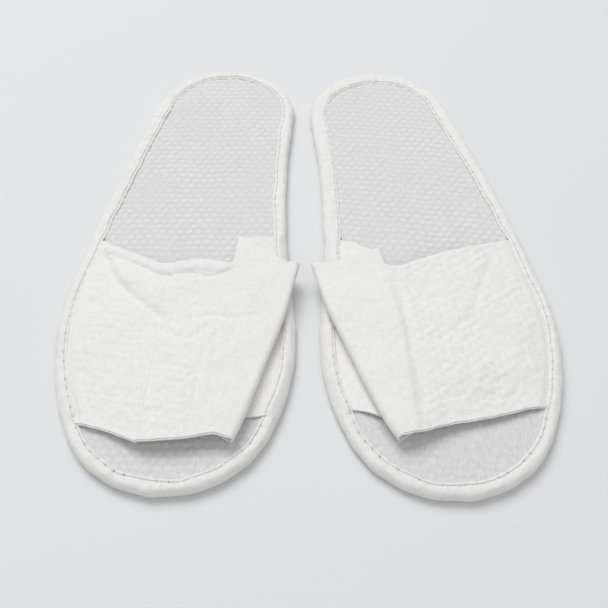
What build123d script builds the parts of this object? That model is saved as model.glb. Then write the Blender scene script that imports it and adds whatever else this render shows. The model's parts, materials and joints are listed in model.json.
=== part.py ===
from build123d import *

import os
from math import sqrt

# A pair of open-toed spa slippers. Each is a thin layered foam sole bound round its edge
# with a stitched tape, and a wide band of doubled non-woven cloth over the forefoot.
# A Z fold at the medial end lets the band lie flat in its packet and rise for a foot.
# Everything is drawn once for the right slipper, in millimetres: toe tip at the origin,
# heel towards +Y, medial side towards +X, underside at Z = 0. The left one is its mirror.

# Sole outline, seen from above
SOLE_LENGTH = 280.0
BALL_LATERAL = 57.0
BALL_MEDIAL = 53.0
TOE_RADIUS = 47.0
BALL_LATERAL_RADIUS = 140.0
BALL_MEDIAL_RADIUS = 125.0
WAIST_LATERAL_RADIUS = 1200.0
WAIST_MEDIAL_RADIUS = 650.0
HEEL_RADIUS = 39.5
HEEL_OFFSET = 10.5

# Sole layers, from the floor up
TREAD_HEIGHT = 0.6
OUTSOLE_THICKNESS = 1.0
FOAM_THICKNESS = 3.3
INSOLE_THICKNESS = 0.7

# Tread studs moulded on the outsole
STUD_RADIUS = 1.6
STUD_PITCH_X = 9.0
STUD_PITCH_Y = 15.6
STUD_EDGE_MARGIN = 10.0

# Binding tape and its row of stitches
TAPE_THICKNESS = 0.6
TAPE_TOP_WIDTH = 6.0
TAPE_BOTTOM_WIDTH = 5.0
TAPE_EDGE_RADIUS = 2.3
STITCH_SETBACK = 1.2
STITCH_WIDTH = 0.7
STITCH_HEIGHT = 0.3

# Band: two plies of cloth, with a gap between one folded layer and the next
PLY_THICKNESS = 0.6
LAYER_GAP = 0.4
BODY_GAP = 0.3
FOLD_GAP = 0.5
SEAM_CLEARANCE = 1.2
ARCH_RISE = 1.2
ARCH_CREST_X = 12.0

# Fold and seam lines run from the toe station to the heel station. A setback is the
# distance in from the tape's inner edge at the ball of the foot.
TOE_STATION = 35.0
HEEL_STATION = 135.0
LIFT_SETBACK = 5.0
SEAM_SETBACKS = (8.0, 1.5)
OUTER_FOLD_SETBACKS = (16.5, -6.5)
INNER_FOLD_SETBACKS = (40.0, 30.5)

# Front and back edges of the band, as distances from the toe tip
TOP_TOE_LATERAL = 31.0
TOP_TOE_MIDDLE = 21.5
TOP_TOE_FOLD = 23.0
TOP_HEEL_LATERAL = 137.0
TOP_HEEL_MIDDLE = 120.5
TOP_HEEL_FOLD = 121.0
TOP_MIDDLE_X = -8.0
UNDER_TOE = 34.0
UNDER_HEEL = 137.5

# Ends of the band, sewn in under the tape
TAB_EDGE_MARGIN = 2.6
TAB_REACH = 1.5

# How the pair lies: the gap between the widest points if both pointed straight ahead,
# how far the left toe leads, and how far each heel is turned towards the other
PAIR_GAP = 14.3
LEFT_LEAD = 1.9
RIGHT_TURN = 0.3
LEFT_TURN = 2.35

# Heights of the layers
band_thickness = 2 * PLY_THICKNESS
outsole_top = TREAD_HEIGHT + OUTSOLE_THICKNESS
foam_top = outsole_top + FOAM_THICKNESS
insole_top = foam_top + INSOLE_THICKNESS
sole_top = insole_top + TAPE_THICKNESS
tab_bottom = insole_top - band_thickness
margin_top = insole_top + band_thickness
under_bottom = margin_top + LAYER_GAP
middle_bottom = under_bottom + band_thickness + LAYER_GAP
top_bottom = middle_bottom + band_thickness + LAYER_GAP
arch_crest = top_bottom + ARCH_RISE

# Hinge heights: the lateral lift line, the outer fold and the inner fold
lift_height = insole_top + LAYER_GAP + PLY_THICKNESS
outer_fold_height = top_bottom - LAYER_GAP / 2
inner_fold_height = middle_bottom - LAYER_GAP / 2


def meeting_point(first, first_reach, second, second_reach):
    """The point at the given distances from two centres, on their right-hand side."""
    span = second - first
    along = (first_reach**2 - second_reach**2 + span.length**2) / (2 * span.length)
    across = sqrt(first_reach**2 - along**2)
    unit = span.normalized()
    return first + unit * along + unit.rotate(Axis.Z, -90) * across


# Centres of the six tangent arcs. The medial waist is hollow: its centre lies outside.
toe_centre = Vector(0, TOE_RADIUS)
heel_centre = Vector(HEEL_OFFSET, SOLE_LENGTH - HEEL_RADIUS)
ball_lateral_centre = Vector(
    BALL_LATERAL_RADIUS - BALL_LATERAL,
    TOE_RADIUS + sqrt((BALL_LATERAL_RADIUS - TOE_RADIUS) ** 2 - (BALL_LATERAL_RADIUS - BALL_LATERAL) ** 2),
)
ball_medial_centre = Vector(
    BALL_MEDIAL - BALL_MEDIAL_RADIUS,
    TOE_RADIUS + sqrt((BALL_MEDIAL_RADIUS - TOE_RADIUS) ** 2 - (BALL_MEDIAL_RADIUS - BALL_MEDIAL) ** 2),
)
waist_lateral_centre = meeting_point(
    ball_lateral_centre,
    WAIST_LATERAL_RADIUS - BALL_LATERAL_RADIUS,
    heel_centre,
    WAIST_LATERAL_RADIUS - HEEL_RADIUS,
)
waist_medial_centre = meeting_point(
    ball_medial_centre,
    WAIST_MEDIAL_RADIUS + BALL_MEDIAL_RADIUS,
    heel_centre,
    WAIST_MEDIAL_RADIUS + HEEL_RADIUS,
)

# Outward directions where one arc meets the next, in order round the sole
toe_lateral = (toe_centre - ball_lateral_centre).normalized()
ball_lateral = (ball_lateral_centre - waist_lateral_centre).normalized()
heel_lateral = (heel_centre - waist_lateral_centre).normalized()
heel_medial = (waist_medial_centre - heel_centre).normalized()
ball_medial = (waist_medial_centre - ball_medial_centre).normalized()
toe_medial = (toe_centre - ball_medial_centre).normalized()

# Each arc: centre, radius (negative where hollow), and its outward directions at the
# start, somewhere between, and the end
outline_arcs = (
    (toe_centre, TOE_RADIUS, toe_medial, Vector(0, -1), toe_lateral),
    (ball_lateral_centre, BALL_LATERAL_RADIUS, toe_lateral, Vector(-1, 0), ball_lateral),
    (waist_lateral_centre, WAIST_LATERAL_RADIUS, ball_lateral, ball_lateral + heel_lateral, heel_lateral),
    (heel_centre, HEEL_RADIUS, heel_lateral, Vector(0, 1), heel_medial),
    (waist_medial_centre, -WAIST_MEDIAL_RADIUS, heel_medial, heel_medial + ball_medial, ball_medial),
    (ball_medial_centre, BALL_MEDIAL_RADIUS, ball_medial, ball_medial + toe_medial, toe_medial),
)


def sole_shape(inset, height):
    """The sole's outline drawn in by inset all round, on the plane at height."""
    with BuildSketch(Plane.XY.offset(height)) as shape:
        with BuildLine():
            for centre, radius, *directions in outline_arcs:
                ThreePointArc(*(centre + way.normalized() * (radius - inset) for way in directions))
        make_face()
    return shape.sketch


def ring_shape(outer_inset, inner_inset, height):
    """A ring that follows the sole's edge, between two insets."""
    with BuildSketch(Plane.XY.offset(height)) as shape:
        add(sole_shape(outer_inset, height))
        add(sole_shape(inner_inset, height), mode=Mode.SUBTRACT)
    return shape.sketch


# Inner edge of the tape at the ball, lateral and medial
tape_lateral = -(BALL_LATERAL - TAPE_TOP_WIDTH)
tape_medial = BALL_MEDIAL - TAPE_TOP_WIDTH
lift_line = tape_lateral + LIFT_SETBACK


def line_x(setbacks, y):
    """Where a fold or seam line with these two setbacks stands at y."""
    share = (y - TOE_STATION) / (HEEL_STATION - TOE_STATION)
    return tape_medial - setbacks[0] + (setbacks[0] - setbacks[1]) * share


def panel_shape(corners, height):
    """A flat panel of the band, by its corners, kept clear inside the tape."""
    with BuildSketch(Plane.XY.offset(height)) as shape:
        with BuildLine():
            Polyline(*corners, close=True)
        make_face()
        add(sole_shape(TAPE_TOP_WIDTH + BODY_GAP, height), mode=Mode.INTERSECT)
    return shape.sketch


# --- Sole -------------------------------------------------------------------------------

# The whole stack inside the tape, which the three layers are cut from
with BuildPart() as sole_stack:
    extrude(sole_shape(TAPE_THICKNESS, TREAD_HEIGHT), amount=insole_top - TREAD_HEIGHT)
    fillet(sole_stack.faces().filter_by(Axis.Z).edges(), radius=TAPE_EDGE_RADIUS - TAPE_THICKNESS)

# Pockets in the top of the stack, where the two ends of the band are sewn in
with BuildPart() as tab_pockets:
    with BuildSketch(Plane.XY.offset(tab_bottom)):
        with Locations((0, TOP_TOE_LATERAL)):
            Rectangle(BALL_LATERAL, TOP_HEEL_LATERAL - TOP_TOE_LATERAL, align=(Align.MAX, Align.MIN))
        with Locations((0, UNDER_TOE)):
            Rectangle(BALL_MEDIAL, UNDER_HEEL - UNDER_TOE, align=(Align.MIN, Align.MIN))
        add(ring_shape(TAB_EDGE_MARGIN, TAPE_TOP_WIDTH + TAB_REACH, tab_bottom), mode=Mode.INTERSECT)
    extrude(amount=band_thickness)

# Outsole: a thin moulded sheet with rows of low round studs, every other row shifted
stud_area = sole_shape(STUD_EDGE_MARGIN, 0).face()
stud_rows = int(SOLE_LENGTH / STUD_PITCH_Y)
stud_columns = int((BALL_LATERAL + BALL_MEDIAL) / STUD_PITCH_X) + 1
stud_grid = [
    Vector(column - stud_columns / 2, row) + Vector(shift, shift)
    for row in range(stud_rows)
    for column in range(stud_columns)
    for shift in (0, 0.5)
]
stud_spots = [Vector(spot.X * STUD_PITCH_X, spot.Y * STUD_PITCH_Y) for spot in stud_grid]
stud_places = [spot for spot in stud_spots if stud_area.is_inside(spot)]
with BuildPart() as outsole:
    add(sole_stack.part)
    split(bisect_by=Plane.XY.offset(outsole_top), keep=Keep.BOTTOM)
    with BuildSketch():
        with Locations(*stud_places):
            Circle(STUD_RADIUS)
    extrude(amount=TREAD_HEIGHT)
outsole.part.label = "outsole"

# Foam core, with the pockets taken out of its upper part
with BuildPart() as foam_core:
    add(sole_stack.part)
    split(bisect_by=Plane.XY.offset(outsole_top), keep=Keep.TOP)
    split(bisect_by=Plane.XY.offset(foam_top), keep=Keep.BOTTOM)
    add(tab_pockets.part, mode=Mode.SUBTRACT)
foam_core.part.label = "foam_core"

# Insole: the embossed cloth the foot stands on
with BuildPart() as insole:
    add(sole_stack.part)
    split(bisect_by=Plane.XY.offset(foam_top), keep=Keep.TOP)
    add(tab_pockets.part, mode=Mode.SUBTRACT)
insole.part.label = "insole"

# Binding tape: wraps the edge of the stack from the top round to the underside
with BuildPart() as binding_tape:
    extrude(sole_shape(0, 0), amount=sole_top)
    fillet(binding_tape.faces().filter_by(Axis.Z).edges(), radius=TAPE_EDGE_RADIUS)
    add(sole_stack.part, mode=Mode.SUBTRACT)
    extrude(sole_shape(TAPE_TOP_WIDTH, insole_top), amount=2 * TAPE_THICKNESS, mode=Mode.SUBTRACT)
    extrude(sole_shape(TAPE_BOTTOM_WIDTH, 0), amount=TREAD_HEIGHT, mode=Mode.SUBTRACT)
binding_tape.part.label = "binding_tape"

# Stitching: the line of thread that holds the tape down, near its inner edge
stitch_inset = TAPE_TOP_WIDTH - STITCH_SETBACK
with BuildPart() as stitching:
    extrude(
        ring_shape(stitch_inset - STITCH_WIDTH, stitch_inset, sole_top),
        amount=STITCH_HEIGHT,
    )
stitching.part.label = "stitching"

# --- Band -------------------------------------------------------------------------------

# Lateral margin: the band's fixed end, from its tab under the tape to the lift line
with BuildPart() as lateral_margin:
    add(tab_pockets.part)
    split(bisect_by=Plane.YZ, keep=Keep.BOTTOM)
    with BuildSketch(Plane.XY.offset(insole_top)):
        with Locations((lift_line - BODY_GAP / 2, TOP_TOE_LATERAL)):
            Rectangle(BALL_LATERAL, TOP_HEEL_LATERAL - TOP_TOE_LATERAL, align=(Align.MAX, Align.MIN))
        add(sole_shape(TAPE_TOP_WIDTH, insole_top), mode=Mode.INTERSECT)
    extrude(amount=band_thickness)
lateral_margin.part.label = "lateral_margin"

# Medial margin: the other fixed end, with a narrow lip up to the seam line
lip_toe = (line_x(SEAM_SETBACKS, UNDER_TOE) + SEAM_CLEARANCE, UNDER_TOE)
lip_heel = (line_x(SEAM_SETBACKS, UNDER_HEEL) + SEAM_CLEARANCE, UNDER_HEEL)
with BuildPart() as medial_margin:
    add(tab_pockets.part)
    split(bisect_by=Plane.YZ, keep=Keep.TOP)
    with BuildSketch(Plane.XY.offset(insole_top)):
        with BuildLine():
            Polyline(lip_toe, (BALL_MEDIAL, UNDER_TOE), (BALL_MEDIAL, UNDER_HEEL), lip_heel, close=True)
        make_face()
        add(sole_shape(TAPE_TOP_WIDTH, insole_top), mode=Mode.INTERSECT)
    extrude(amount=band_thickness)
medial_margin.part.label = "medial_margin"

# Plan of the top panel: a gently bowed toe edge and a heel edge that sweeps back laterally.
# It keeps inside the tape, except at the outer fold, which may reach out over it.
toe_corner = (lift_line + BODY_GAP / 2, TOP_TOE_LATERAL)
toe_fold = (line_x(OUTER_FOLD_SETBACKS, TOP_TOE_FOLD), TOP_TOE_FOLD)
heel_fold = (line_x(OUTER_FOLD_SETBACKS, TOP_HEEL_FOLD), TOP_HEEL_FOLD)
heel_corner = (lift_line + BODY_GAP / 2, TOP_HEEL_LATERAL)
with BuildSketch() as top_limits:
    add(sole_shape(TAPE_TOP_WIDTH + BODY_GAP, 0))
    Rectangle(2 * BALL_MEDIAL, SOLE_LENGTH, align=(Align.MIN, Align.MIN))
with BuildSketch() as top_plan:
    with BuildLine():
        ThreePointArc(toe_corner, (TOP_MIDDLE_X, TOP_TOE_MIDDLE), toe_fold)
        Polyline(toe_fold, heel_fold, (TOP_MIDDLE_X, TOP_HEEL_MIDDLE), heel_corner, toe_corner)
    make_face()
    add(top_limits.sketch, mode=Mode.INTERSECT)


def top_ply(level):
    """One ply of the arched top panel, level plies above its underside."""
    low = insole_top + LAYER_GAP + level * PLY_THICKNESS
    crest = arch_crest + level * PLY_THICKNESS
    high = top_bottom + level * PLY_THICKNESS
    underside = ((lift_line, low), (ARCH_CREST_X, crest), (heel_fold[0], high))
    topside = [(x, z + PLY_THICKNESS) for x, z in underside]
    with BuildPart() as ply:
        with BuildSketch(Plane.XZ):
            with BuildLine():
                ThreePointArc(*underside)
                Line(underside[2], topside[2])
                ThreePointArc(*topside)
                Line(topside[0], underside[0])
            make_face()
        extrude(amount=-SOLE_LENGTH)
        extrude(top_plan.sketch, amount=2 * arch_crest, mode=Mode.INTERSECT)
    return ply.part


with BuildPart() as top_panel_lining:
    add(top_ply(0))
top_panel_lining.part.label = "top_panel_lining"

with BuildPart() as top_panel_face:
    add(top_ply(1))
top_panel_face.part.label = "top_panel_face"

# Middle panel: folded back under the top one, so its face looks down
middle_corners = (
    (line_x(INNER_FOLD_SETBACKS, UNDER_TOE) + FOLD_GAP, UNDER_TOE),
    (line_x(OUTER_FOLD_SETBACKS, TOP_TOE_FOLD) - FOLD_GAP, TOP_TOE_FOLD),
    (line_x(OUTER_FOLD_SETBACKS, TOP_HEEL_FOLD) - FOLD_GAP, TOP_HEEL_FOLD),
    (line_x(INNER_FOLD_SETBACKS, UNDER_HEEL) + FOLD_GAP, UNDER_HEEL),
)
with BuildPart() as middle_panel_face:
    extrude(panel_shape(middle_corners, middle_bottom), amount=PLY_THICKNESS)
middle_panel_face.part.label = "middle_panel_face"

with BuildPart() as middle_panel_lining:
    extrude(panel_shape(middle_corners, middle_bottom + PLY_THICKNESS), amount=PLY_THICKNESS)
middle_panel_lining.part.label = "middle_panel_lining"

# Under panel: folded forward again, face up, to just short of the medial seam line
under_corners = (
    (line_x(INNER_FOLD_SETBACKS, UNDER_TOE) + FOLD_GAP, UNDER_TOE),
    (line_x(SEAM_SETBACKS, UNDER_TOE) - FOLD_GAP, UNDER_TOE),
    (line_x(SEAM_SETBACKS, UNDER_HEEL) - FOLD_GAP, UNDER_HEEL),
    (line_x(INNER_FOLD_SETBACKS, UNDER_HEEL) + FOLD_GAP, UNDER_HEEL),
)
with BuildPart() as under_panel_lining:
    extrude(panel_shape(under_corners, under_bottom), amount=PLY_THICKNESS)
under_panel_lining.part.label = "under_panel_lining"

with BuildPart() as under_panel_face:
    extrude(panel_shape(under_corners, under_bottom + PLY_THICKNESS), amount=PLY_THICKNESS)
under_panel_face.part.label = "under_panel_face"

# --- The pair ---------------------------------------------------------------------------

pieces = (
    outsole,
    foam_core,
    insole,
    binding_tape,
    stitching,
    lateral_margin,
    medial_margin,
    top_panel_lining,
    top_panel_face,
    middle_panel_face,
    middle_panel_lining,
    under_panel_lining,
    under_panel_face,
)

toe_x = BALL_MEDIAL + PAIR_GAP / 2
right_place = Location((-toe_x, LEFT_LEAD / 2, 0), (0, 0, -RIGHT_TURN))
left_place = Location((toe_x, -LEFT_LEAD / 2, 0), (0, 0, LEFT_TURN))

# The origin is under the centre of the pair's own box
outermost = (binding_tape.part, top_panel_face.part)
pair_box = Compound(
    children=[solid.moved(right_place) for solid in outermost]
    + [mirror(solid, about=Plane.YZ).moved(left_place) for solid in outermost]
).bounding_box()
to_origin = Location((-pair_box.center().X, -pair_box.center().Y, 0))

os.makedirs("parts", exist_ok=True)
for piece in pieces:
    right_piece = piece.part.moved(to_origin * right_place)
    left_piece = mirror(piece.part, about=Plane.YZ).moved(to_origin * left_place)
    for side, solid in (("right", right_piece), ("left", left_piece)):
        solid.label = f"{side}_{piece.part.label}"
        export_step(solid, f"parts/{solid.label}.step")
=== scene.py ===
import math

import bmesh
import bpy
import numpy as np
from mathutils.kdtree import KDTree
from mathutils.noise import noise as lumps
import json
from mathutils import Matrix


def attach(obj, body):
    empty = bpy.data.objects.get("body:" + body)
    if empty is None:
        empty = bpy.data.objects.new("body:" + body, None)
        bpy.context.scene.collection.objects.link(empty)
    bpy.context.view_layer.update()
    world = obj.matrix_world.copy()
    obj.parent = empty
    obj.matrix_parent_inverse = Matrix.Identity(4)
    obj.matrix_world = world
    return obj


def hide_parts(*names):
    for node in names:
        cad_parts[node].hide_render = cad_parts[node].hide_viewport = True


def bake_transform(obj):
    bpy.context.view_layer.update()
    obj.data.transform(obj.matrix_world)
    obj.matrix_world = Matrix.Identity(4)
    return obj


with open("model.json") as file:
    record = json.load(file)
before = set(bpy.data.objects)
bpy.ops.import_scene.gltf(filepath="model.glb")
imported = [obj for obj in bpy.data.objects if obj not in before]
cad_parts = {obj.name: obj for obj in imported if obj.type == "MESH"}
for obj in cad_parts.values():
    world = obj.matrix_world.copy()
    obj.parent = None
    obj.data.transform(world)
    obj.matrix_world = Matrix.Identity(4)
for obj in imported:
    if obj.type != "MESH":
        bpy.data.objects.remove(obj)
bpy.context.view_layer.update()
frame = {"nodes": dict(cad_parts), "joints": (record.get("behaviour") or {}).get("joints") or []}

# ---------------------------------------------------------------- the view
# The pair lies on a pale floor, toes towards the lens, seen from above at about half a right angle.
# A broad soft light hangs over and behind the heels, a weaker one is in front, and the room fills in.
scene = bpy.context.scene
scene.view_settings.view_transform = "Standard"
camera = bpy.data.objects.new("camera", bpy.data.cameras.new("camera"))
camera.data.lens = 50
camera.data.sensor_width = 36
camera.location = (-0.0015, -0.2934, 0.312)
camera.rotation_euler = (math.radians(39.4), 0, 0)
scene.collection.objects.link(camera)
bpy.context.scene.camera = camera

studio = bpy.data.worlds.new("studio")
studio.use_nodes = True
studio.node_tree.nodes["Background"].inputs["Color"].default_value = (0.985, 0.99, 1.0, 1)
studio.node_tree.nodes["Background"].inputs["Strength"].default_value = 0.455
scene.world = studio
for name, power, size, place in (("soft box", 29.0, 1.4, (-0.52, 0.98, 1.95)),
                                 ("front fill", 4.2, 1.4, (0.30, -1.25, 1.5))):
    lamp = bpy.data.lights.new(name, "AREA")
    lamp.energy, lamp.size = power, size
    stand = bpy.data.objects.new(name, lamp)
    stand.location = place
    stand.rotation_euler = (-stand.location).to_track_quat("-Z", "Y").to_euler()
    scene.collection.objects.link(stand)

# ---------------------------------------------------------------- the floor
# A sheet of matt white board, larger than the pair by far.
# It has a faint cloudiness and nothing else.
BOARD_HALF = 3.0
BOARD_DROP = -0.0001
board_mesh = bpy.data.meshes.new("floor")
board_mesh.from_pydata([(-BOARD_HALF, -BOARD_HALF, BOARD_DROP), (BOARD_HALF, -BOARD_HALF, BOARD_DROP),
                        (BOARD_HALF, BOARD_HALF, BOARD_DROP), (-BOARD_HALF, BOARD_HALF, BOARD_DROP)],
                       [], [(0, 1, 2, 3)])
floor = bpy.data.objects.new("floor", board_mesh)
scene.collection.objects.link(floor)


def shader(name, rough=0.9):
    """A new material, its node tree and its Principled shader."""
    made = bpy.data.materials.new(name)
    made.use_nodes = True
    principled = made.node_tree.nodes["Principled BSDF"]
    principled.inputs["Roughness"].default_value = rough
    return made, made.node_tree, principled


def between(tree, mask, low, high, socket):
    """Feeds socket with a colour that goes from low to high as mask goes from 0 to 1."""
    mix = tree.nodes.new("ShaderNodeMix")
    mix.data_type = "RGBA"
    mix.inputs["A"].default_value = (*low, 1)
    mix.inputs["B"].default_value = (*high, 1)
    tree.links.new(mask, mix.inputs["Factor"])
    tree.links.new(mix.outputs["Result"], socket)


board, tree, principled = shader("matt board", 0.75)
cloud = tree.nodes.new("ShaderNodeTexNoise")
cloud.inputs["Scale"].default_value = 5
tree.links.new(tree.nodes.new("ShaderNodeTexCoord").outputs["Object"], cloud.inputs["Vector"])
between(tree, cloud.outputs["Fac"], (0.765, 0.768, 0.775), (0.785, 0.787, 0.792),
        principled.inputs["Base Color"])
board_mesh.materials.append(board)

# ---------------------------------------------------------------- the outsole
# A 1 mm foam sheet under each slipper, with small round studs moulded on it against slipping.
# It is glued to the foam core, and only its studs touch the floor.
sides = ("right", "left")
joints = {j["name"]: j for j in frame["joints"]}
LIFT_POINT = (-46.0, 85.0)      # the upper's lift joint, in a slipper's own plan, in millimetres
to_row = {}                     # from a slipper's own frame, toe tip at 0 and heel along +Y
for side in sides:
    lift, hand = joints[side + "_upper_lift"], 1 if side == "right" else -1
    along = -hand * np.array(lift["axis"])
    across = hand * np.array([along[1], -along[0], 0])
    start = np.array(lift["pos_m"]) - (LIFT_POINT[0] * across + LIFT_POINT[1] * along) / 1000
    to_row[side] = np.array([[across[0] / 1000, along[0] / 1000, 0, start[0]],
                             [across[1] / 1000, along[1] / 1000, 0, start[1]],
                             [0, 0, 0.001, 0]])


def noise(tree, scale, detail=3.0, distortion=0.0, stretch=(1, 1, 1)):
    """A noise value over the surface, with about scale lumps to the metre."""
    mapping = tree.nodes.new("ShaderNodeMapping")
    mapping.inputs["Scale"].default_value = stretch
    tree.links.new(tree.nodes.new("ShaderNodeTexCoord").outputs["Object"], mapping.inputs["Vector"])
    texture = tree.nodes.new("ShaderNodeTexNoise")
    texture.inputs["Scale"].default_value = scale
    texture.inputs["Detail"].default_value = detail
    texture.inputs["Distortion"].default_value = distortion
    tree.links.new(mapping.outputs["Vector"], texture.inputs["Vector"])
    return texture.outputs["Fac"]


def relief(tree, principled, height, depth, strength=1.0):
    """Bumps of that depth in metres in the shader's normal."""
    bump = tree.nodes.new("ShaderNodeBump")
    bump.inputs["Distance"].default_value = depth
    bump.inputs["Strength"].default_value = strength
    tree.links.new(height, bump.inputs["Height"])
    tree.links.new(bump.outputs["Normal"], principled.inputs["Normal"])


def foam_finish(name, low, high, cell, depth):
    """Closed-cell foam: fine cells, a slightly mottled colour and a dull skin."""
    made, tree, principled = shader(name, 0.8)
    cells = tree.nodes.new("ShaderNodeTexVoronoi")
    cells.inputs["Scale"].default_value = cell
    tree.links.new(tree.nodes.new("ShaderNodeTexCoord").outputs["Object"], cells.inputs["Vector"])
    between(tree, noise(tree, 60, 4), low, high, principled.inputs["Base Color"])
    relief(tree, principled, cells.outputs["Distance"], depth, 0.6)
    return made


eva = foam_finish("outsole foam sheet", (0.70, 0.70, 0.685), (0.77, 0.77, 0.755), 1800, 0.0002)
core = foam_finish("core foam", (0.80, 0.80, 0.79), (0.86, 0.86, 0.85), 1100, 0.0003)
for side in sides:
    for node, finish in (("_outsole", eva), ("_foam_core", core)):
        cad = frame["nodes"][side + node]
        cad.data.materials.clear()
        cad.data.materials.append(finish)

# ---------------------------------------------------------------- the insole
# Non-woven cloth laid over the foam core, embossed with staggered oval bumps by a hot roller.
# Its edge goes under the binding tape, and where toes rub and at the toe end the bumps are flatter.
SOLE_LENGTH = 280.0
TOE_RADIUS, HEEL_RADIUS = 47.0, 39.5
HEEL_OFFSET = 10.5              # how far medial of the toe tip the middle of the heel is
BALL_LATERAL, BALL_LATERAL_RADIUS, WAIST_LATERAL_RADIUS = 57.0, 140.0, 1200.0
BALL_MEDIAL, BALL_MEDIAL_RADIUS, WAIST_MEDIAL_RADIUS = 53.0, 125.0, 650.0
STITCHES, STEPS = 128, 12       # stitches round a sole, and stations from one to the next
ARC_POINTS = 300                # points on each half of an outline arc
BUMP_PITCH, BUMP_ROW = 4.5, 3.8  # from bump to bump along a row, and from row to row


def unit(v):
    return v / np.linalg.norm(v)


def outline():
    """Points round a sole at even steps, and the outward directions there, from six arcs."""
    toe, heel = np.array([0, TOE_RADIUS]), np.array([HEEL_OFFSET, SOLE_LENGTH - HEEL_RADIUS])

    def ball(x, radius, hand):
        rise = math.sqrt((radius - TOE_RADIUS) ** 2 - (radius - x) ** 2)
        return np.array([hand * (x - radius), TOE_RADIUS + rise])

    def waist(near, reach, far):
        gap = np.linalg.norm(heel - near)
        along = (reach ** 2 - far ** 2 + gap ** 2) / (2 * gap)
        out = math.sqrt(reach ** 2 - along ** 2)
        way = (heel - near) / gap
        return near + way * along + np.array([way[1], -way[0]]) * out

    lateral, medial = ball(BALL_LATERAL, BALL_LATERAL_RADIUS, -1), ball(BALL_MEDIAL, BALL_MEDIAL_RADIUS, 1)
    outer = waist(lateral, WAIST_LATERAL_RADIUS - BALL_LATERAL_RADIUS, WAIST_LATERAL_RADIUS - HEEL_RADIUS)
    inner = waist(medial, WAIST_MEDIAL_RADIUS + BALL_MEDIAL_RADIUS, WAIST_MEDIAL_RADIUS + HEEL_RADIUS)
    turns = [unit(toe - medial), unit(toe - lateral), unit(lateral - outer), unit(heel - outer),
             unit(inner - heel), unit(inner - medial), unit(toe - medial)]
    arcs = [(toe, TOE_RADIUS, np.array([0, -1])), (lateral, BALL_LATERAL_RADIUS, np.array([-1, 0])),
            (outer, WAIST_LATERAL_RADIUS, None), (heel, HEEL_RADIUS, np.array([0, 1])),
            (inner, -WAIST_MEDIAL_RADIUS, None), (medial, BALL_MEDIAL_RADIUS, None)]
    points, outward = [], []
    for (centre, radius, middle), first, last in zip(arcs, turns, turns[1:]):
        middle = unit(first + last) if middle is None else middle
        for a, b in ((first, middle), (middle, last)):
            begin = math.atan2(a[1], a[0])
            swing = (math.atan2(b[1], b[0]) - begin + math.pi) % (2 * math.pi) - math.pi
            angle = begin + swing * np.linspace(0, 1, ARC_POINTS, endpoint=False)
            outward.append(np.c_[np.cos(angle), np.sin(angle)])
            points.append(centre + outward[-1] * radius)
    points, outward = np.vstack(points), np.vstack(outward)
    ring = np.vstack([points, points[:1]])
    run = np.r_[0, np.cumsum(np.linalg.norm(np.diff(ring, axis=0), axis=1))]
    even = np.linspace(0, run[-1], STITCHES * STEPS, endpoint=False)
    walk = np.c_[[np.interp(even, run, np.append(column, column[0]))
                  for column in (*points.T, *outward.T)]].T
    return walk[:, :2], walk[:, 2:] / np.linalg.norm(walk[:, 2:], axis=1)[:, None], run[-1]


rim, rim_out, rim_run = outline()
rim_lateral = np.arange(len(rim)) < rim[:, 1].argmax()
rim_lateral[:rim[:, 1].argmin()] = False


def edge_x(y, inset, lateral):
    """How far out a line that far inside a sole's edge is at that y, on one side."""
    inside = rim - rim_out * inset
    inside = inside[rim_lateral if lateral else ~rim_lateral]
    inside = inside[np.argsort(inside[:, 1])]
    return np.interp(y, inside[:, 1], inside[:, 0])


def ripple(x, y, size, seed):
    """A smooth random height from about -1 to 1, with waves of about that size in millimetres."""
    rng = np.random.default_rng(seed)
    total = np.zeros(np.shape(x))
    for angle, stretch, phase in rng.uniform((0, 0.7, 0), (math.pi, 1.6, 2 * math.pi), (9, 3)):
        wave = 2 * math.pi / (size * stretch)
        total += np.sin(wave * (x * math.cos(angle) + y * math.sin(angle)) + phase)
    return total / 4


def bumps(x, y, turn, wide=2.15, tall=1.75):
    """Staggered oval bumps from 0 to about 1, in rows turned by that many degrees, no two quite alike."""
    c, s = math.cos(math.radians(turn)), math.sin(math.radians(turn))
    x, y = x + 0.45 * ripple(x, y, 26, 3), y + 0.45 * ripple(x, y, 23, 4)
    u, v = c * x + s * y, c * y - s * x
    best = np.zeros(np.shape(x))
    for near in (-1, 0, 1):
        row = np.round(v / BUMP_ROW) + near
        stagger = (row % 2) / 2
        centre = (np.round(u / BUMP_PITCH - stagger) + stagger) * BUMP_PITCH
        scatter = np.modf(np.abs(np.sin(12.9898 * row + 4.1414 * centre) * 43758.5453))[0]
        size = 0.72 + 0.36 * scatter
        far = ((u - centre) / wide) ** 2 + ((v - row * BUMP_ROW) / tall) ** 2
        best = np.maximum(best, size * np.clip(1 - far, 0, 1) ** 0.8)
    return best


def ease(t):
    """A smooth step from 0 to 1 as t goes from 0 to 1."""
    t = np.clip(t, 0, 1)
    return t * t * (3 - 2 * t)


def crinkle(x, y, size, seed):
    """Random soft crumples of about that size, from about -1 to 1."""
    flat = np.c_[np.ravel(x), np.ravel(y)] / size
    return np.reshape([1.6 * lumps((a, b, 7.3 * seed)) for a, b in flat.tolist()], np.shape(x))


def quads(rows, columns):
    """The faces of a grid of points, up where rows go along +X and columns along +Y."""
    a = np.arange(rows * columns).reshape(rows, columns)
    return np.stack([a[:-1, :-1], a[1:, :-1], a[1:, 1:], a[:-1, 1:]], -1).reshape(-1, 4)


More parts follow.
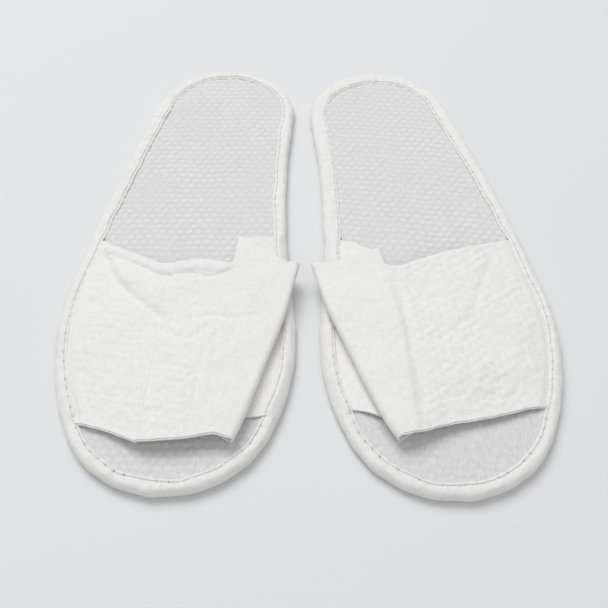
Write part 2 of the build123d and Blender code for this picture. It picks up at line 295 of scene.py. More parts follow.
def piece(name, side, points, faces, finish, crisp=None):
    """A mesh object from points in a slipper's own frame, mirrored for the left one."""
    mesh = bpy.data.meshes.new(name)
    placed = np.c_[points, np.ones(len(points))] @ to_row[side].T
    mesh.from_pydata(placed.tolist(), [], (faces if side == "right" else faces[:, ::-1]).tolist())
    mesh.polygons.foreach_set("use_smooth", [True] * len(mesh.polygons))
    mesh.materials.append(finish)
    if crisp:
        mesh.set_sharp_from_angle(angle=math.radians(crisp))
    made = bpy.data.objects.new(name, mesh)
    scene.collection.objects.link(made)
    return made


fibres = bpy.data.node_groups.new("bonded fibres", "ShaderNodeTree")
fibres.interface.new_socket("Fibres per metre", in_out="INPUT", socket_type="NodeSocketFloat")
fibres.interface.new_socket("Cloud", in_out="INPUT", socket_type="NodeSocketFloat")
fibres.interface.new_socket("Height", in_out="OUTPUT", socket_type="NodeSocketFloat")
fibres.interface.new_socket("Shade", in_out="OUTPUT", socket_type="NodeSocketFloat")
given, result = fibres.nodes.new("NodeGroupInput"), fibres.nodes.new("NodeGroupOutput")


def reckon(tree, operation, *values):
    """A Math node on sockets and numbers."""
    node = tree.nodes.new("ShaderNodeMath")
    node.operation = operation
    for socket, value in zip(node.inputs, values):
        if isinstance(value, (int, float)):
            socket.default_value = value
        else:
            tree.links.new(value, socket)
    return node.outputs["Value"]


layers = []
for stretch in ((1, 0.16, 1), (0.16, 1, 1), (0.6, 0.6, 1)):
    layer = noise(fibres, 1, 2, 1.2, stretch)
    fibres.links.new(given.outputs["Fibres per metre"], layer.node.inputs["Scale"])
    layers.append(layer)
mat = reckon(fibres, "MAXIMUM", reckon(fibres, "MAXIMUM", layers[0], layers[1]), layers[2])
fibres.links.new(mat, result.inputs["Height"])
patches = noise(fibres, 70, 3)
cloudy = reckon(fibres, "MULTIPLY", given.outputs["Cloud"], patches)
fibres.links.new(reckon(fibres, "ADD", reckon(fibres, "MULTIPLY", mat, 0.8), cloudy), result.inputs["Shade"])


def cloth_finish(name, low, high, count, cloud, depth, rough, sheen, emboss=0.0):
    """Bonded fibre cloth: a mat of crossing fibres, paler where it is thick, with a soft sheen.
    emboss is the share of the colour that is painted shade from the emboss attribute: lighter on bump tops,
    darker between them."""
    made, tree, principled = shader(name)
    group = tree.nodes.new("ShaderNodeGroup")
    group.node_tree = fibres
    group.inputs["Fibres per metre"].default_value = count
    group.inputs["Cloud"].default_value = cloud
    shade = group.outputs["Shade"]
    if emboss:
        bump_shade_node = tree.nodes.new("ShaderNodeAttribute")
        bump_shade_node.attribute_name = "emboss"
        shade = reckon(tree, "MULTIPLY_ADD", bump_shade_node.outputs["Fac"], emboss,
                       reckon(tree, "MULTIPLY", shade, 1 - emboss))
    between(tree, shade, low, high, principled.inputs["Base Color"])
    tree.links.new(reckon(tree, "MULTIPLY_ADD", group.outputs["Height"], 0.12, rough),
                   principled.inputs["Roughness"])
    principled.inputs["Sheen Weight"].default_value = sheen
    relief(tree, principled, group.outputs["Height"], depth)
    return made


INSOLE_TOP, INSOLE_PLY, INSOLE_INSET = 5.45, 0.5, 3.2
INSOLE_STEP = 0.7               # the mesh's squares
EDGE_SLACK = 0.3                # a square may reach this far past the cloth's edge before it is trimmed
BUMP_HEIGHT = 0.42
# the insole's bump tops are painted lighter and the hollows between them darker: painted shade, with a faint
# random mottle in it
insole_finish = cloth_finish("insole cloth", (0.655, 0.652, 0.656), (0.875, 0.87, 0.868), 1500, 0.30,
                             0.00040, 0.80, 0.15, emboss=0.42)
# rubbing lays the fibres along the foot, so there they show as fine strands
tree = insole_finish.node_tree
mixed = tree.nodes["Principled BSDF"].inputs["Base Color"].links[0].from_node
fibre_tone_and_bump_shade = mixed.inputs["Factor"].links[0].from_socket
worn_here = tree.nodes.new("ShaderNodeAttribute")
worn_here.attribute_name = "rubbed"
strands = reckon(tree, "SUBTRACT", noise(tree, 1500, 2, 0.5, (1, 0.22, 1)), 0.5)
tree.links.new(reckon(tree, "MULTIPLY_ADD", reckon(tree, "MULTIPLY", strands, 1.5), worn_here.outputs["Fac"],
                      fibre_tone_and_bump_shade), mixed.inputs["Factor"])
around = KDTree(len(rim))
for i, point in enumerate(rim):
    around.insert((*point, 0), i)
around.balance()


def inset_of(points):
    """How far inside a sole's edge each point is."""
    nearest = np.array([around.find((x, y, 0))[1] for x, y in points])
    return -((points - rim[nearest]) * rim_out[nearest]).sum(1), nearest


plan = np.stack(np.meshgrid(np.arange(-BALL_LATERAL - 1, BALL_MEDIAL + 2, INSOLE_STEP),
                            np.arange(0, SOLE_LENGTH + 1, INSOLE_STEP), indexing="ij"), -1)
rows, columns = plan.shape[:2]
plan = plan.reshape(-1, 2)
plan_inset, plan_near = inset_of(plan)
insole_faces = quads(rows, columns)
insole_faces = insole_faces[(plan_inset[insole_faces] > INSOLE_INSET - EDGE_SLACK).all(1)]
kept = np.unique(insole_faces)
renumber = np.zeros(len(plan), int)
renumber[kept] = np.arange(len(kept))
insole_faces, plan, plan_near = renumber[insole_faces], plan[kept], plan_near[kept]
loose = np.bincount(insole_faces.ravel(), minlength=len(plan)) < 4      # the points of the cloth's edge
plan[loose] = rim[plan_near[loose]] - rim_out[plan_near[loose]] * INSOLE_INSET

for side, turn, toe_relief, toe_streaks in (("right", 0.5, 0.75, 0.35), ("left", 8.0, 0.40, 0.60)):
    x, y = plan.T
    worn = np.clip(0.85 + 0.25 * ripple(x, y, 45, 11 + len(side)), 0.45, 1.1)
    worn *= toe_relief + (1 - toe_relief) * np.clip((y - 30) / 90, 0, 1)
    raised_dots = worn * bumps(x, y, turn)
    rubbed = 0.15 + toe_streaks * np.clip((75 - y) / 30, 0, 1)
    z = INSOLE_TOP + BUMP_HEIGHT * raised_dots + 0.07 * crinkle(x, y, 7, 1) + 0.04 * crinkle(x, y, 2.2, 2)
    z = np.where(loose, INSOLE_TOP, z)
    insole = piece(side + "_insole_cloth", side, np.c_[plan, z], insole_faces, insole_finish)
    # the emboss attribute sets the painted shade: lighter on the bump tops, darker between them, with a faint
    # mottle
    mark = insole.data.attributes.new("emboss", "FLOAT", "POINT")
    mark.data.foreach_set("value", (raised_dots + 0.25 * crinkle(x, y, 1.6, 3)).astype(np.float32))
    mark = insole.data.attributes.new("rubbed", "FLOAT", "POINT")
    mark.data.foreach_set("value", rubbed.astype(np.float32))
    bm = bmesh.new()
    bm.from_mesh(insole.data)
    # the wall round the cloth is made face by face, so its faces come in the same order each run,
    # which an extrusion's don't
    upper_edge = [e for e in bm.edges if e.is_boundary]
    below = {}
    for corner in [v for e in upper_edge for v in e.verts]:
        if corner not in below:
            below[corner] = bm.verts.new((*corner.co.xy, (INSOLE_TOP - INSOLE_PLY) / 1000), corner)
    for e in upper_edge:
        a, b = e.verts
        bm.faces.new((a, b, below[b], below[a]), e.link_faces[0])
    bmesh.ops.edgeloop_fill(bm, edges=[e for e in bm.edges if e.is_boundary])
    bmesh.ops.recalc_face_normals(bm, faces=bm.faces)
    bm.to_mesh(insole.data)
    bm.free()
    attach(insole, side + "_sole")
    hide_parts(side + "_insole")

# ---------------------------------------------------------------- the binding tape
# A soft folded tape 18.5 mm wide, wrapped over the sole's rim from top to bottom all the way round.
# It is sewn through near its inner edge, which pulls the edge into small waves between the stitches.
# The tape's two ends lap beside the heel, and it is raised where the band's cloth goes in under it.
TAPE_PLY = 0.55
STITCH_INSET = 1.25             # from the tape's inner edge to the seam
HOLE_DEPTH = 0.60               # how deep a needle hole is pulled
BAND_SPAN = {("right", True): (34.0, 139.0), ("right", False): (37.0, 140.0),
             ("left", True): (43.0, 139.0), ("left", False): (42.0, 143.0)}
BAND_RAISE = {True: 1.0, False: 1.35}
# widths of the top of the tape at the toe tip, then up the lateral side, the heel tip and back
TAPE_STOPS = ((0, True), (40, True), (85, True), (150, True), (220, True), (280, True),
              (220, False), (150, False), (85, False), (40, False))
TAPE_WIDTHS = {"right": (6.3, 6.4, 6.3, 7.6, 8.2, 7.2, 6.7, 6.6, 6.4, 6.3),
               "left": (6.4, 6.4, 6.4, 7.0, 8.6, 9.3, 8.9, 8.6, 6.8, 6.4)}
TAPE_LAP = {"right": (True, 236.0), "left": (False, 172.0)}
stations = np.arange(len(rim))
rim_at = stations * rim_run / len(rim)


def station_at(y, lateral):
    """The station round the rim at that y, on one side."""
    side_stations = stations[rim_lateral if lateral else ~rim_lateral]
    return side_stations[np.abs(rim[side_stations, 1] - y).argmin()]


def tape_width(side):
    stops = [station_at(y, lateral) for y, lateral in TAPE_STOPS]
    order = np.argsort(stops)
    width = np.interp(stations, np.array(stops)[order], np.array(TAPE_WIDTHS[side])[order], period=len(rim))
    phase = 2 * math.pi * stations / len(rim)
    seed = 5 if side == "right" else 8
    waves = ripple(80 * np.cos(phase), 80 * np.sin(phase), 16, seed)
    return width + 0.42 * waves


def over_band(side, reach=4.0):
    """How much the tape is raised at each station, where the band's cloth goes in under it."""
    raised = np.zeros(len(rim))
    for lateral in (True, False):
        low, high = BAND_SPAN[side, lateral]
        inside_span = np.minimum(rim[:, 1] - low + reach, high + reach - rim[:, 1]) / reach
        raised += np.where(rim_lateral == lateral, BAND_RAISE[lateral] * ease(inside_span), 0)
    return raised


tape_finish = cloth_finish("tape cloth", (0.755, 0.75, 0.735), (0.93, 0.925, 0.91), 1300, 0.32,
                           0.00038, 0.78, 0.25)
tree = tape_finish.node_tree
plain = tree.nodes["Principled BSDF"].inputs["Base Color"].links[0].from_socket
# the needle holes are painted dark: painted shade in each hole, deeper for the bigger holes
hole_shade_node = tree.nodes.new("ShaderNodeAttribute")
hole_shade_node.attribute_name = "needle_hole_shade"
hole_shade_mix = tree.nodes.new("ShaderNodeMix")
hole_shade_mix.data_type = "RGBA"
hole_shade_mix.inputs["B"].default_value = (0.13, 0.125, 0.12, 1)
tree.links.new(hole_shade_node.outputs["Fac"], hole_shade_mix.inputs["Factor"])
tree.links.new(plain, hole_shade_mix.inputs["A"])
tree.links.new(hole_shade_mix.outputs["Result"], tree.nodes["Principled BSDF"].inputs["Base Color"])

SECTION_TOP = np.arange(1, 15)  # the points of the tape's section that show from above
SECTION_SEAM = 5                # the one under the thread
SECTION_RIM = np.arange(12, 20)
seam_height = {}                # the tape's top along the seam, without its needle holes
for side in sides:
    width, raised = tape_width(side), over_band(side)
    step_in_stitch = (stations % STEPS) / STEPS                     # 0 at each needle hole
    hole = np.exp(-(np.minimum(step_in_stitch, 1 - step_in_stitch) * STEPS / 1.15) ** 2)
    swell = np.sin(math.pi * step_in_stitch) ** 2                   # 1 half way between two holes
    round_end = np.clip(1 - np.abs(rim_out[:, 0]), 0, 1)            # towards 1 at the toe and heel
    phase = 2 * math.pi * stations / len(rim)
    circle = 105 * np.cos(phase), 105 * np.sin(phase)
    pucker = ripple(*circle, 6.0, 31 + len(side))
    lateral, lap_y = TAPE_LAP[side]
    past = (stations - station_at(lap_y, lateral)) * rim_run / len(rim)
    lap = np.clip(past / 0.6, 0, 1) * np.clip((13 - past) / 4, 0, 1)
    scallop = width + 0.22 * (swell - 0.5)
    near_toe = np.clip((70 - rim[:, 1]) / 50, 0, 1)
    hole_size = np.repeat(np.random.default_rng(len(side)).uniform(0, 1, STITCHES), STEPS)
    hole_size = np.roll(hole_size, STEPS // 2) ** (2 - 1.3 * near_toe) * (0.55 + 0.45 * near_toe)
    # the inner edge lies down on the insole, but stands off it a little along the lateral heel
    open_edge = 0.42 * np.clip((rim[:, 1] - 143) / 12, 0, 1) * np.clip((262 - rim[:, 1]) / 25, 0, 1)
    open_edge *= rim_lateral
    sink = (0.45 + 0.55 * hole_size) * hole
    # the section from the inner edge over the rim and back: inset, height, and share of the band's lift
    section = [
        (scallop - 0.05, 5.25 + open_edge, 1), (scallop + 0.22, 5.60 + open_edge, 1),
        (scallop - 0.05, 5.92 + 0.08 * swell, 1), (scallop - 0.50, 6.13 + 0.08 * swell, 1),
        (width - 0.90, 6.20 - 0.20 * sink, 1), (width - STITCH_INSET, 6.24 - HOLE_DEPTH * sink, 1),
        (width - 1.65, 6.30 - 0.20 * sink, 1), (width - 2.3, 6.40 - 0.12 * sink, 1),
        (0.60 * width - 0.2, 6.54 - 0.05 * sink, 0.95), (0.45 * width, 6.58, 0.62),
        (0.30 * width, 6.42, 0.25), (1.35, 6.08, 0.08), (0.78, 5.52, 0), (0.34, 4.85, 0), (0.08, 4.05, 0),
        (0.0, 3.2, 0), (0.08, 2.35, 0), (0.40, 1.50, 0), (0.95, 0.72, 0), (1.75, 0.22, 0), (2.7, 0.04, 0),
        (3.8, 0.0, 0), (4.9, 0.03, 0), (5.0, 0.30, 0), (4.8, TAPE_PLY, 0), (2.7, TAPE_PLY + 0.05, 0),
        (1.6, 1.1, 0), (0.9, 2.1, 0), (0.62, 3.2, 0), (0.85, 4.4, 0), (1.6, 5.30, 0.08),
        (0.40 * width, 5.60, 0.55), (0.7 * width, 5.60, 1)]
    inset, height, share = (np.stack([np.broadcast_to(point[part], len(rim)) for point in section], 1)
                            for part in range(3))
    height = height + raised[:, None] * share
    top = SECTION_TOP
    fade = np.interp(top, (1, 4, 7, 11, 14), (0.4, 0.4, 0.9, 1.0, 0.5))
    height[:, top] += (0.14 + 0.16 * round_end[:, None]) * pucker[:, None] * fade
    run = np.repeat(rim_at[:, None], len(top), 1)
    soft = 0.26 * crinkle(inset[:, top] * 1.3, run, 4.5, len(side))
    fine = 0.10 * crinkle(inset[:, top], run, 1.9, 4)
    height[:, top] += (soft + fine) * fade
    height[:, top] += 0.38 * lap[:, None] * np.interp(top, (1, 11, 14), (1, 1, 0.5))
    seam_height[side] = height[:, SECTION_SEAM] + HOLE_DEPTH * sink
    inset[:, SECTION_RIM] -= 0.22 * ripple(*circle, 11, 41)[:, None] + 0.35 * lap[:, None]
    around_ring = rim[:, None] - rim_out[:, None] * inset[..., None]
    points = np.concatenate([around_ring, height[..., None]], -1)
    n, m = points.shape[:2]
    a = np.arange(n * m).reshape(n, m)
    b, c = np.roll(a, -1, 0), np.roll(a, -1, 1)
    ring_faces = np.stack([a, b, np.roll(b, -1, 1), c], -1).reshape(-1, 4)
    tape = piece(side + "_binding_tape_cloth", side, points.reshape(-1, 3), ring_faces[:, ::-1], tape_finish)
    # painted shade in each needle hole, and a little of it on the points to either side
    mark = tape.data.attributes.new("needle_hole_shade", "FLOAT", "POINT")
    hole_shade = np.zeros((n, m))
    hole_shade[:, SECTION_SEAM] = (0.10 + 0.90 * hole_size) * hole
    hole_shade[:, [SECTION_SEAM - 1, SECTION_SEAM + 1]] = 0.35 * hole_shade[:, [SECTION_SEAM]]
    mark.data.foreach_set("value", hole_shade.ravel().astype(np.float32))
    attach(tape, side + "_sole")
    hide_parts(side + "_binding_tape")

# ---------------------------------------------------------------- the stitching
# One row of lockstitch in white spun thread, 5.2 mm a stitch, down through the whole sole.
# Each stitch lies in the dip that it pulls in the tape, and goes down a needle hole at both ends.
THREAD_RADIUS = 0.30
THREAD_SIDES = 8
THREAD_REST = 0.13              # the thread's middle, above the tape
THREAD_ALONG = np.linspace(0.13, 0.87, 11)     # where a stitch shows, from one needle hole to the next
thread_finish, tree, principled = shader("spun thread", 0.55)
principled.inputs["Sheen Weight"].default_value = 0.2
twist = tree.nodes.new("ShaderNodeTexWave")
twist.inputs["Scale"].default_value = 900
twist.inputs["Distortion"].default_value = 2
twist.bands_direction = "DIAGONAL"
tree.links.new(tree.nodes.new("ShaderNodeTexCoord").outputs["Object"], twist.inputs["Vector"])
between(tree, twist.outputs["Fac"], (0.80, 0.795, 0.78), (0.93, 0.925, 0.915),
        principled.inputs["Base Color"])
relief(tree, principled, twist.outputs["Fac"], 0.00012)


def between_stations(values, low, part):
    """Values at stations, blended towards the next station by part."""
    return values[low] * (1 - part) + values[(low + 1) % len(rim)] * part


def one_stitch(track, z):
    """The points of a stitch along a track, and the faces of its closed tube."""
    way = np.gradient(track, axis=0)
    way /= np.linalg.norm(way, axis=1)[:, None]
    sideways = np.c_[way[:, 1], -way[:, 0], np.zeros(len(z))][:, None]
    ring = np.linspace(0, 2 * math.pi, THREAD_SIDES, endpoint=False)[None, :, None]
    middle = np.c_[track, z]
    tube = middle[:, None] + THREAD_RADIUS * (np.cos(ring) * sideways + np.sin(ring) * np.array([0, 0, 1]))
    a = np.arange(len(z) * THREAD_SIDES).reshape(-1, THREAD_SIDES)
    b = np.roll(a, -1, 1)
    first, last = a.size, a.size + 1
    faces = [np.stack([a[:-1], a[1:], b[1:], b[:-1]], -1).reshape(-1, 4)]
    faces.append(np.c_[a[0, ::2], b[0, ::2], np.roll(b[0], -1)[::2], [first] * (THREAD_SIDES // 2)])
    faces.append(np.c_[np.roll(b[-1], -1)[::2], b[-1, ::2], a[-1, ::2], [last] * (THREAD_SIDES // 2)])
    return np.vstack([tube.reshape(-1, 3), middle[:1], middle[-1:]]), np.vstack(faces)


for side in sides:
    seam = rim - rim_out * (tape_width(side) - STITCH_INSET)[:, None]
    end = np.abs(2 * (THREAD_ALONG - 0.5))                              # 1 at a needle hole
    points, faces = [], []
    for stitch in range(STITCHES):
        at = stitch * STEPS + THREAD_ALONG * STEPS
        low, part = np.floor(at).astype(int) % len(rim), at % 1
        z = between_stations(seam_height[side], low, part) + THREAD_REST
        z -= HOLE_DEPTH * np.clip((end - 0.55) / 0.31, 0, 1) ** 2
        tube, tube_faces = one_stitch(between_stations(seam, low, part[:, None]), z)
        points.append(tube)
        faces.append(tube_faces + stitch * len(tube))
    stitching = piece(side + "_stitch_row", side, np.vstack(points), np.vstack(faces)[:, ::-1], thread_finish)
    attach(stitching, side + "_sole")
    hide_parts(side + "_stitching")

# ---------------------------------------------------------------- the band
# The upper is one band of two plies of soft bonded cloth, sewn in under the tape on both sides.
# For packing it is folded in a flat Z: from the lateral side over to a fold past the medial edge,
# back under itself to a second fold, and out again to the medial seam. It was creased when packed.
PLY = 0.50                      # a ply's thickness, with a hair between the two
HAIR = 0.02                     # from the band's middle surface to each ply
MARGIN_HALF_PLY = 0.14          # the two plies pressed flat at the medial seam
FACE_STEP, LINING_STEP = 0.75, 1.1              # the size of each ply's mesh
LINING_BACK = 0.55              # how far the lining's toe edge shows past the face
MIDDLE_HEIGHT, UNDER_HEIGHT = 9.35, 7.80
TOP_AT_TAPE, UNDER_AT_TAPE = 6.12, 6.47         # where the panels come out from under the tape
TUCK = 3.5                      # the lateral end, inside the sole's edge
MEDIAL_TUCK = (4.6, 5.8)        # less at the heel end, where the panel rises most when the band is lifted
BAND_LENGTH = 103.0             # about its length from toe edge to heel edge, which sets the mesh
LIFT_BEND = 4.0                 # how far to each side of the lift joint two points are set
OUTER_BEND, INNER_BEND = (10.75, 9.95), (8.75, 8.42)     # and two heights over each of the two folds
ARCH_CREST, ARCH_RISE, ARCH_SAG = 12.0, 6.0, 0.75
HANG, HANG_REACH = 3.0, 26.0    # how far the toe edge hangs, and from how far up the panel
HEM_WIDTH, HEM_RISE = 8.2, 1.15
band_finish = cloth_finish("band cloth", (0.765, 0.76, 0.742), (0.945, 0.94, 0.92), 1200, 0.30,
                           0.00040, 0.80, 0.25)

# plan lines of each band, toe to heel or lateral to medial
CREASE = {"right": [(-12, 20.4), (-11.2, 26), (-10.8, 45.6), (-9.7, 63.6), (-8.2, 78.5), (-7.6, 93),
                    (-6, 109), (-5.2, 116)],
          "left": [(15, 26.4), (15.1, 40.5), (15.3, 66), (16.0, 88), (16.6, 103), (16.8, 117.8)]}
# the right band's hem is stepped at the crease, so the part beyond it starts on its own line
CREASE_BEYOND = {"right": CREASE["right"][:-1] + [(-5.4, 114), (-4.9, 119.4)], "left": CREASE["left"]}
FOLD = {"right": [(26, 21.7), (30.4, 34), (39, 62.6), (46, 87.3), (52.3, 117.6)],
        "left": [(21.6, 25.3), (26.9, 36), (38, 68), (47.5, 98), (53, 121.5)]}
INNER_FOLD = {"right": [(8, 33.5), (17, 85), (22.8, 119), (25.2, 137.5)],
              "left": [(8, 34), (15, 85), (19.6, 119), (21.8, 132.3)]}
TOE_EDGE = {"right": [(-37, 29.5), (-24, 24.8), (-12, 20.4)],
            "left": [(-44, 41.2), (-36.7, 38), (-19, 33.2), (-4.4, 30.6), (8.8, 27.8), (15, 26.4)]}
TOE_EDGE_BEYOND = {"right": [(-12, 20.4), (-4, 20.3), (8, 21.3), (20, 23.3), (26, 21.7)],
                   "left": [(15, 26.4), (21.6, 25.3)]}
HEEL_EDGE = {"right": [(-41, 134.6), (-24.6, 125), (-11.7, 118), (-5.2, 116)],
             "left": [(-40, 136), (-14.6, 128), (4, 121.3), (12, 118.2), (16.8, 117.8)]}
HEEL_EDGE_BEYOND = {"right": [(-4.9, 119.4), (7.5, 119), (21.5, 117.0), (36, 117.4), (52.3, 117.6)],
                    "left": [(16.8, 117.8), (28, 119.6), (40, 120.8), (53, 121.5)]}
UNDER_TOE = {"right": [(8, 33.5), (18, 33.2), (29, 34), (41.4, 36)],
             "left": [(8, 34), (18, 35), (28, 37), (35.8, 40.6), (39.8, 41.7)]}
UNDER_HEEL = {"right": [(25.2, 137.5), (33.3, 139.2), (40.9, 139.9)],
              "left": [(21.8, 132.3), (28.5, 134.8), (34, 139), (39, 141)]}
# the rolled hem of the right band: its outer edge, and the dip along its inner one
HEM = [(-52, 141), (-41, 134.6), (-24.6, 125), (-11.7, 118), (-5, 118), (7.5, 119), (21.5, 117.0)]
HEM_DIP = [(-38, 125.6), (-23.5, 116.6), (-10.8, 109.7), (-4.4, 109.5), (4.7, 109.2), (11.2, 107.4),
           (21.8, 111.2)]
# what packing pressed into each top panel: a line, its height (below 0 in a furrow) and its breadth
PRESSED = {
    "right": [(CREASE["right"], -0.75, 0.9), (HEM_DIP, -0.85, 1.1),
              ([(-41.6, 127), (-36, 115), (-30.4, 106), (-21, 95.7), (-8.5, 84)], -1.45, 2.3),
              ([(-31, 115), (-22, 106), (-12, 98)], 0.9, 5.5),
              ([(-7, 76), (0, 72.5), (6, 71.5), (13.5, 78.6)], -0.5, 1.5),
              ([(8, 82.5), (16, 84), (23.5, 83), (36.5, 85.4)], -0.45, 1.6),
              ([(3, 66), (9, 60), (12, 48)], -0.25, 1.2), ([(-6, 52), (2, 47), (13, 44)], -0.25, 1.2),
              ([(13.5, 78), (12.5, 60), (10.5, 40), (10, 24)], -0.28, 0.9),
              ([(17.5, 75), (17, 50), (15, 26)], -0.18, 0.8)],
    "left": [([(17.5, 106), (13.6, 88), (11.8, 66), (11.2, 40)], -0.55, 2.6),
             ([(14, 114.5), (10.8, 107), (8.2, 100), (7, 92)], -0.45, 1.5),
             ([(-32, 121), (-17, 89), (-5, 76), (2.4, 74)], -0.40, 2.2),
             ([(-38, 60), (-36, 90)], 0.45, 7)]}
SMOOTH_FROM = {"right": 11.0, "left": 17.0}     # the embossing is ironed flat beyond this
EMBOSS_TURN = {"right": -12, "left": 24}        # and its rows are turned by that many degrees


def through(points, count):
    """Evenly spaced points on a smooth curve through the given ones."""
    p = np.array(points, float)
    ends = np.vstack([2 * p[0] - p[1], p, 2 * p[-1] - p[-2]])
    t = np.linspace(0, 1, 24, endpoint=False)[:, None]
    curve = []
    for a, b, c, d in zip(ends, ends[1:], ends[2:], ends[3:]):
        reach = np.linalg.norm(c - b)
        out = unit(c - a) * reach if np.linalg.norm(c - a) else c - b
        into = unit(d - b) * reach
        curve.append((2 * t**3 - 3 * t**2 + 1) * b + (t**3 - 2 * t**2 + t) * out
                     + (3 * t**2 - 2 * t**3) * c + (t**3 - t**2) * into)
    curve = np.vstack(curve + [p[-1:]])
    run = np.r_[0, np.cumsum(np.linalg.norm(np.diff(curve, axis=0), axis=1))]
    even = np.linspace(0, run[-1], count)
    return np.c_[np.interp(even, run, curve[:, 0]), np.interp(even, run, curve[:, 1])]


def panel(first, last, toe, heel, step, toe_shift=0.0):
    """A grid of plan points over a panel with four edges: first and last run from toe to heel,
    and toe and heel run from first to last. toe_shift moves the toe edge outward."""
    width = np.linalg.norm(np.diff(through(heel, 40), axis=0), axis=1).sum()
    across, down = max(6, round(width / step)), round(BAND_LENGTH / step)
    t = np.linspace(0, 1, across + 1)[:, None, None]
    v = np.linspace(0, 1, down + 1)[None, :, None]
    f, l = through(first, down + 1)[None], through(last, down + 1)[None]
    b, h = through(toe, across + 1)[:, None], through(heel, across + 1)[:, None]
    grid = ((1 - t) * f + t * l + (1 - v) * b + v * h
            - ((1 - t) * (1 - v) * b[:1] + t * (1 - v) * b[-1:] + (1 - t) * v * h[:1] + t * v * h[-1:]))
    grid[..., 1] -= toe_shift * (1 - v[..., 0]) ** 8
    return grid


def away(x, y, points):
    """The distance of each plan point from a smooth line through the given points."""
    line = through(points, 40)
    a, d = line[:-1], np.diff(line, axis=0)
    p = np.stack([x, y], -1)[..., None, :] - a
    t = np.clip((p * d).sum(-1) / (d * d).sum(-1), 0, 1)
    return np.linalg.norm(p - t[..., None] * d, axis=-1).min(-1)


def beyond_crease(side, x, y, wander=0):
    """How far each plan point is past the long crease, towards the medial side."""
    line = np.array(CREASE[side])
    return x - (np.interp(y, line[:, 1], line[:, 0]) + wander)


def droop(side, x, y, z):
    """How far the top panel hangs down towards its toe edge, lateral of the folds under it."""
    toe = away(x, y, TOE_EDGE[side] + TOE_EDGE_BEYOND[side][1:])
    lateral_part = ease((CREASE[side][0][0] + 4 - x) / 20) * ease((x + 46) / 14)
    return HANG * ease(1 - toe / HANG_REACH) * lateral_part * np.clip((z - 6.9) / 5, 0, 1)


def top_height(side, x, y):
    """The height of the top panel's middle surface: an arch from the tape to the fold, and its creases."""
    tape = edge_x(np.clip(y, *BAND_SPAN["right", True]), 6.2, True)
    t = np.clip((x - tape) / (ARCH_CREST - tape), 0, 1)
    arch = TOP_AT_TAPE + ARCH_RISE * t * (2 - t) - ARCH_SAG * ease((x - ARCH_CREST) / 36)
    billow = 0.85 * ease((x - tape) / 3.5)
    creased = 0.28 * ripple(x, y, 34, 51 + len(side)) + 0.16 * crinkle(x, y, 11, 5)
    creased += (0.14 + 0.10 * ease((12 - x) / 8)) * crinkle(x + 0.4 * y, y, 4.5, 6)
    creased += 0.10 * crinkle(x, y, 2.4, 8)
    for line, rise, breadth in PRESSED[side]:
        creased += rise * np.exp(-(away(x, y, line) / breadth) ** 2)
    bumpy = ease((SMOOTH_FROM[side] - x) / 5)
    if side == "right":
        creased += 0.55 * ease(beyond_crease(side, x, y) / 1.6 + 0.4)
        hem = away(x, y, HEM)
        rolled = ease((24 - x) / 4)
        creased += rolled * HEM_RISE * np.sin(math.pi * np.clip(hem / HEM_WIDTH, 0, 1)) ** 0.8
        creased -= rolled * 1.7 * np.clip(1 - hem / 1.8, 0, 1) ** 2
        bumpy = np.maximum(0.75 * bumpy, 0.25)
    else:
        wander = 0.5 * crinkle(0 * x, y, 3.5, 9)
        creased += 1.25 * ease(beyond_crease(side, x, y, wander) / 4.5 + 0.6) * ease((114 - y) / 16)
        creased -= 0.9 * np.clip(1 - away(x, y, HEEL_EDGE["left"]) / 2.2, 0, 1) ** 2
        bumpy = np.maximum(bumpy, 0.8 * ease((x - 34 - 0.16 * (y - 70)) / 4))
    strength = np.clip(0.75 + 0.45 * ripple(x, y, 26, 71 + len(side)), 0.2, 1.2)
    emboss = 0.36 * bumpy * strength * (bumps(x, y, EMBOSS_TURN[side]) - 0.4)
    off_the_tape = ease((x - tape - 1.5) / 7)
    return arch + billow + off_the_tape * (creased + emboss) - droop(side, x, y, arch)


def nose(before, after, inward=False, points=7):
    """The turn of a fold from one panel's last row to the next one's first row, bulging past them."""
    way = np.gradient(before[..., :2], axis=0)
    out = np.stack([way[:, 1], -way[:, 0]], -1) * (-1 if inward else 1)
    out /= np.linalg.norm(out, axis=1)[:, None]
    centre, rise = (before + after) / 2, (before[:, 2] - after[:, 2]) / 2
    rows = []
    for angle in np.linspace(math.pi / 2, -math.pi / 2, points + 2)[1:-1]:
        row = centre.copy()
        row[:, :2] += out * (np.abs(rise) * math.cos(angle))[:, None]
        row[:, 2] += rise * math.sin(angle)
        rows.append(row)
    return np.array(rows)


def with_height(grid, z):
    return np.concatenate([grid, np.broadcast_to(z, grid.shape[:2])[..., None]], -1)


def hung(side, grid):
    """A part of the top panel from its plan, with its toe edge drawn back by as much as it hangs."""
    x, y = grid[..., 0], grid[..., 1]
    rows = with_height(grid, top_height(side, x, y))
    rows[..., 1] += 0.8 * droop(side, x, y, np.full(x.shape, 11.0))
    return rows


def ply_piece(name, side, rows, low, high):
    """One ply as a closed thin sheet, between two offsets from the band's middle surface."""
    out = np.cross(np.gradient(rows, axis=0), np.gradient(rows, axis=1))
    out /= np.linalg.norm(out, axis=2)[..., None]
    r, c = rows.shape[:2]
    n = r * c
    faces = quads(r, c)
    a = np.arange(n).reshape(r, c)
    loop = np.concatenate([a[0, :], a[1:, -1], a[-1, -2::-1], a[-2:0:-1, 0]])
    after = np.roll(loop, -1)
    rim_faces = np.c_[loop, after, after + n, loop + n]
    points = np.concatenate([(rows + out * high).reshape(-1, 3), (rows + out * low).reshape(-1, 3)])
    return piece(name, side, points, np.vstack([faces, faces[:, ::-1] + n, rim_faces]), band_finish, crisp=55)


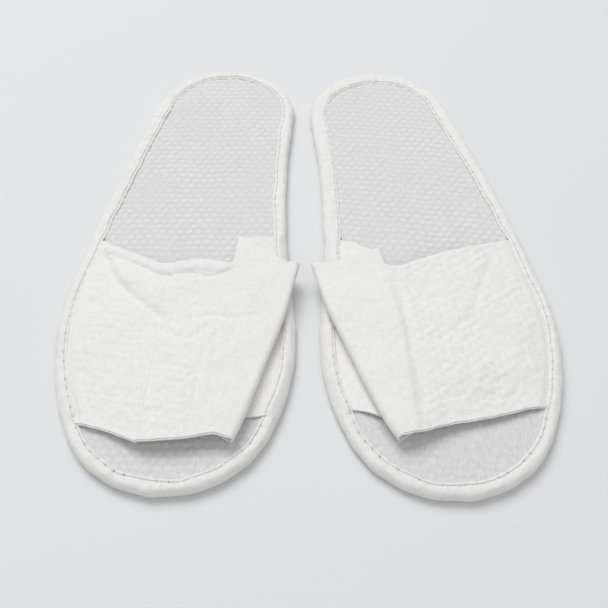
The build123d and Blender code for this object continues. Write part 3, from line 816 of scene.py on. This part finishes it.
def top_panel(side, step, shift):
    """The top panel: its lateral part, from under the tape to the long crease, and the part beyond."""
    tape_y = np.linspace(*BAND_SPAN[side, True], 8)
    tucked = np.c_[edge_x(tape_y, TUCK, True), tape_y]
    lateral = panel(tucked, CREASE[side], [tucked[0]] + TOE_EDGE[side], [tucked[-1]] + HEEL_EDGE[side],
                    step, shift)
    beyond = panel(CREASE_BEYOND[side], FOLD[side], TOE_EDGE_BEYOND[side], HEEL_EDGE_BEYOND[side],
                   step, shift)
    return hung(side, lateral), hung(side, beyond)


def middle_panel(side, step):
    """The middle panel, which lies flat between the two folds, in two halves."""
    fold, inner = FOLD[side], INNER_FOLD[side]
    half = (through(fold, 6) + through(inner, 6)) / 2
    to_half = panel(fold, half, [fold[0], half[0]], [fold[-1], half[-1]], step)
    from_half = panel(half, inner, [half[0], inner[0]], [half[-1], inner[-1]], step)
    wavy = 0.05 * ripple(from_half[..., 0], from_half[..., 1], 12, 81)
    return with_height(to_half, MIDDLE_HEIGHT), with_height(from_half, MIDDLE_HEIGHT + wavy)


def under_panel(side, step):
    """The under panel, from the inner fold to under the tape on the medial side."""
    span = BAND_SPAN[side, False]
    tape_y = np.linspace(*span, 8)
    tuck = np.interp(rim[:, 1], span, MEDIAL_TUCK)[:, None]
    tucked = np.c_[edge_x(tape_y, tuck, False), tape_y]
    grid = panel(INNER_FOLD[side], tucked, UNDER_TOE[side] + [tucked[0]], UNDER_HEEL[side] + [tucked[-1]],
                 step)
    x, y = grid[..., 0], grid[..., 1]
    to_tape = edge_x(np.clip(y, *span), 6.6, False) - x
    z = UNDER_HEIGHT - (UNDER_HEIGHT - UNDER_AT_TAPE) * ease((11 - to_tape) / 10)
    z += 0.07 * ease(to_tape / 5) * (bumps(x, y, 4) - 0.5 + ripple(x, y, 14, 91))
    return with_height(grid, z)


def bend_at(side, joint, heights):
    """The points over a fold's joint at two heights."""
    x, y = joints[side + joint]["pos_m"][:2]
    return [(x, y, z / 1000) for z in heights]


for side in sides:
    # the two plies' end on the medial side, sewn in under the tape and rising to the seam
    first_y, last_y = BAND_SPAN[side, False]
    tape_y = np.linspace(first_y + 2, last_y - 2, 60)
    strip = np.stack([np.c_[edge_x(tape_y, inset, False), tape_y, np.full(60, z)]
                      for inset, z in ((8.2, 5.82), (7.4, 5.80), (6.4, 5.78), (5.2, 5.76), (4.0, 5.76))])
    margin = ply_piece(side + "_band_seam_margin", side, strip, -MARGIN_HALF_PLY, MARGIN_HALF_PLY)
    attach(margin, side + "_sole")
    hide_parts(side + "_medial_margin")

    lift, reach = np.array(joints[side + "_upper_lift"]["pos_m"]), to_row[side][:, 0] * LIFT_BEND
    for skin, step, shift, low, high in (("face", FACE_STEP, 0.0, HAIR, PLY),
                                         ("lining", LINING_STEP, LINING_BACK, -PLY, -HAIR)):
        lateral, beyond = top_panel(side, step, shift)
        middle_1, middle_2 = middle_panel(side, step)
        under = under_panel(side, step)
        fold = np.concatenate([beyond, nose(beyond[-1], middle_1[0]), middle_1])
        under = np.concatenate([middle_2, nose(middle_2[-1], under[0], inward=True), under])
        stands_for = ["_lateral_margin", "_top_panel_face"] if skin == "face" else ["_top_panel_lining"]
        for part, rows, bodies, bend, nodes in (
                ("_band_lateral_", lateral, ("_sole", "_upper_top"),
                 (lift - reach, lift + reach), stands_for),
                ("_band_fold_", fold, ("_upper_top", "_upper_middle"),
                 bend_at(side, "_outer_fold", OUTER_BEND), ["_middle_panel_" + skin]),
                ("_band_under_", under, ("_upper_middle", "_upper_under"),
                 bend_at(side, "_inner_fold", INNER_BEND), ["_under_panel_" + skin])):
            cloth = ply_piece(side + part + skin, side, rows, low, high)
            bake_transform(cloth)
            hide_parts(*[side + node for node in nodes])
